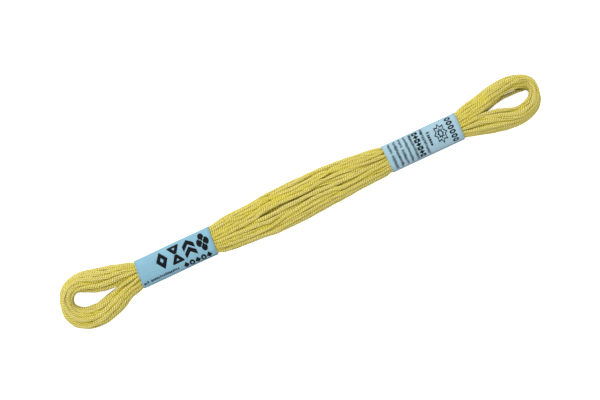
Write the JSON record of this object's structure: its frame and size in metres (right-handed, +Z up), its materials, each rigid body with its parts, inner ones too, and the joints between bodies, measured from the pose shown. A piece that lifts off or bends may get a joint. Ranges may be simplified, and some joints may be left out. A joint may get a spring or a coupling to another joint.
{
  "type": "hank of embroidery floss",
  "caption": "Wound hank of yellow stranded cotton floss, pinched by blue paper bands, with a full middle and an open eye at each end, lying flat.",
  "frame": {"origin": "centre of the hank's outline on the surface that it lies on", "axes": "+X along the hank, towards the slimmer eye; +Z up from the surface; -Y towards the viewer"},
  "size_m": [0.165, 0.0174, 0.0074],
  "materials": {
    "floss": "soft mercerised cotton, slightly lustrous",
    "band_paper": "smooth printed paper"
  },
  "bodies": {
    "root": {"floss_hank": "floss", "paper_band_left": "band_paper", "paper_band_right": "band_paper"}
  },
  "joints": []
}
